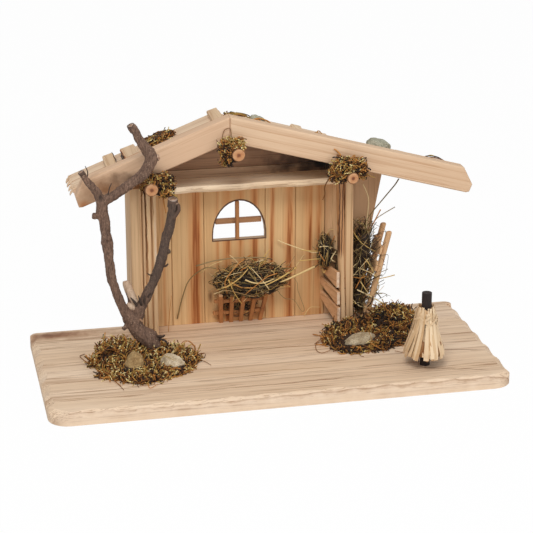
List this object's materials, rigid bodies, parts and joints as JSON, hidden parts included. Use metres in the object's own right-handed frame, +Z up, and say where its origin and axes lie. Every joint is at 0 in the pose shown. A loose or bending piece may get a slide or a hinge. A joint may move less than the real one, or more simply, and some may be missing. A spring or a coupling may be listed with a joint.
{
  "type": "nativity stable",
  "caption": "Open-fronted wooden nativity stable on a whittled base board, with a forked twig tree, moss, stones, a hay manger, a hay rack and a straw sheaf.",
  "frame": {"origin": "middle of the base board's underside", "axes": "+X to the viewer's right along the front edge, +Y from the front to the back wall, +Z up"},
  "size_m": [0.5, 0.232, 0.2768],
  "materials": {
    "pale_wood": "sawn and whittled pale softwood, oiled, with brown growth lines",
    "wall_wood": "sawn softwood boards with scorched orange-brown stripes along the grain",
    "grey_wood": "plain weathered board, grey-brown",
    "split_wood": "split softwood with bark left at the edges",
    "stick_wood": "thin split sticks, rough sawn",
    "bark": "dark grey-brown bark with pale sawn ends",
    "moss": "dried olive and brown moss",
    "hay": "loose dried hay",
    "straw": "cream strips of dry straw",
    "grey_stone": "rough grey pebble",
    "tan_stone": "rough tan pebble",
    "peg_bark": "near-black bark"
  },
  "bodies": {
    "root": {"base_board": "pale_wood", "side_panel": "pale_wood", "left_barge_board": "pale_wood", "right_barge_board": "pale_wood", "ridge_batten": "pale_wood", "eave_batten": "pale_wood", "ledge_chip": "pale_wood", "right_chip": "pale_wood", "wall_board_1": "wall_wood", "wall_board_2": "wall_wood", "wall_board_3": "wall_wood", "wall_board_4": "wall_wood", "wall_board_5": "wall_wood", "window_mullion": "wall_wood", "loft_board": "wall_wood", "window_transom": "grey_wood", "gable_board_lower": "grey_wood", "gable_board_upper": "grey_wood", "outer_panel": "grey_wood", "left_side_wall": "split_wood", "left_post": "split_wood", "right_post": "split_wood", "ridge_purlin": "split_wood", "left_purlin": "split_wood", "right_purlin": "split_wood", "left_roof_deck": "split_wood", "right_roof_deck": "split_wood", "bark_batten": "split_wood", "right_ledge_board": "split_wood", "fence_plank_1": "stick_wood", "fence_plank_2": "stick_wood", "fence_plank_3": "stick_wood", "manger": "stick_wood", "rack_upright_front": "stick_wood", "rack_upright_back": "stick_wood", "rack_slat_1": "stick_wood", "rack_slat_2": "stick_wood", "rack_slat_3": "stick_wood", "tree": "bark", "left_roof_moss": "moss", "ridge_moss": "moss", "right_roof_moss": "moss", "left_purlin_moss": "moss", "ridge_purlin_moss": "moss", "right_purlin_moss": "moss", "tree_moss": "moss", "post_moss": "moss", "manger_hay": "hay", "rack_hay": "hay", "fence_hay": "hay", "sheaf_straw": "straw", "sheaf_tie": "straw", "roof_stone": "grey_stone", "ridge_stone": "grey_stone", "tree_stone_right": "grey_stone", "post_stone": "grey_stone", "tree_stone_left": "tan_stone", "sheaf_peg": "peg_bark"}
  },
  "joints": []
}
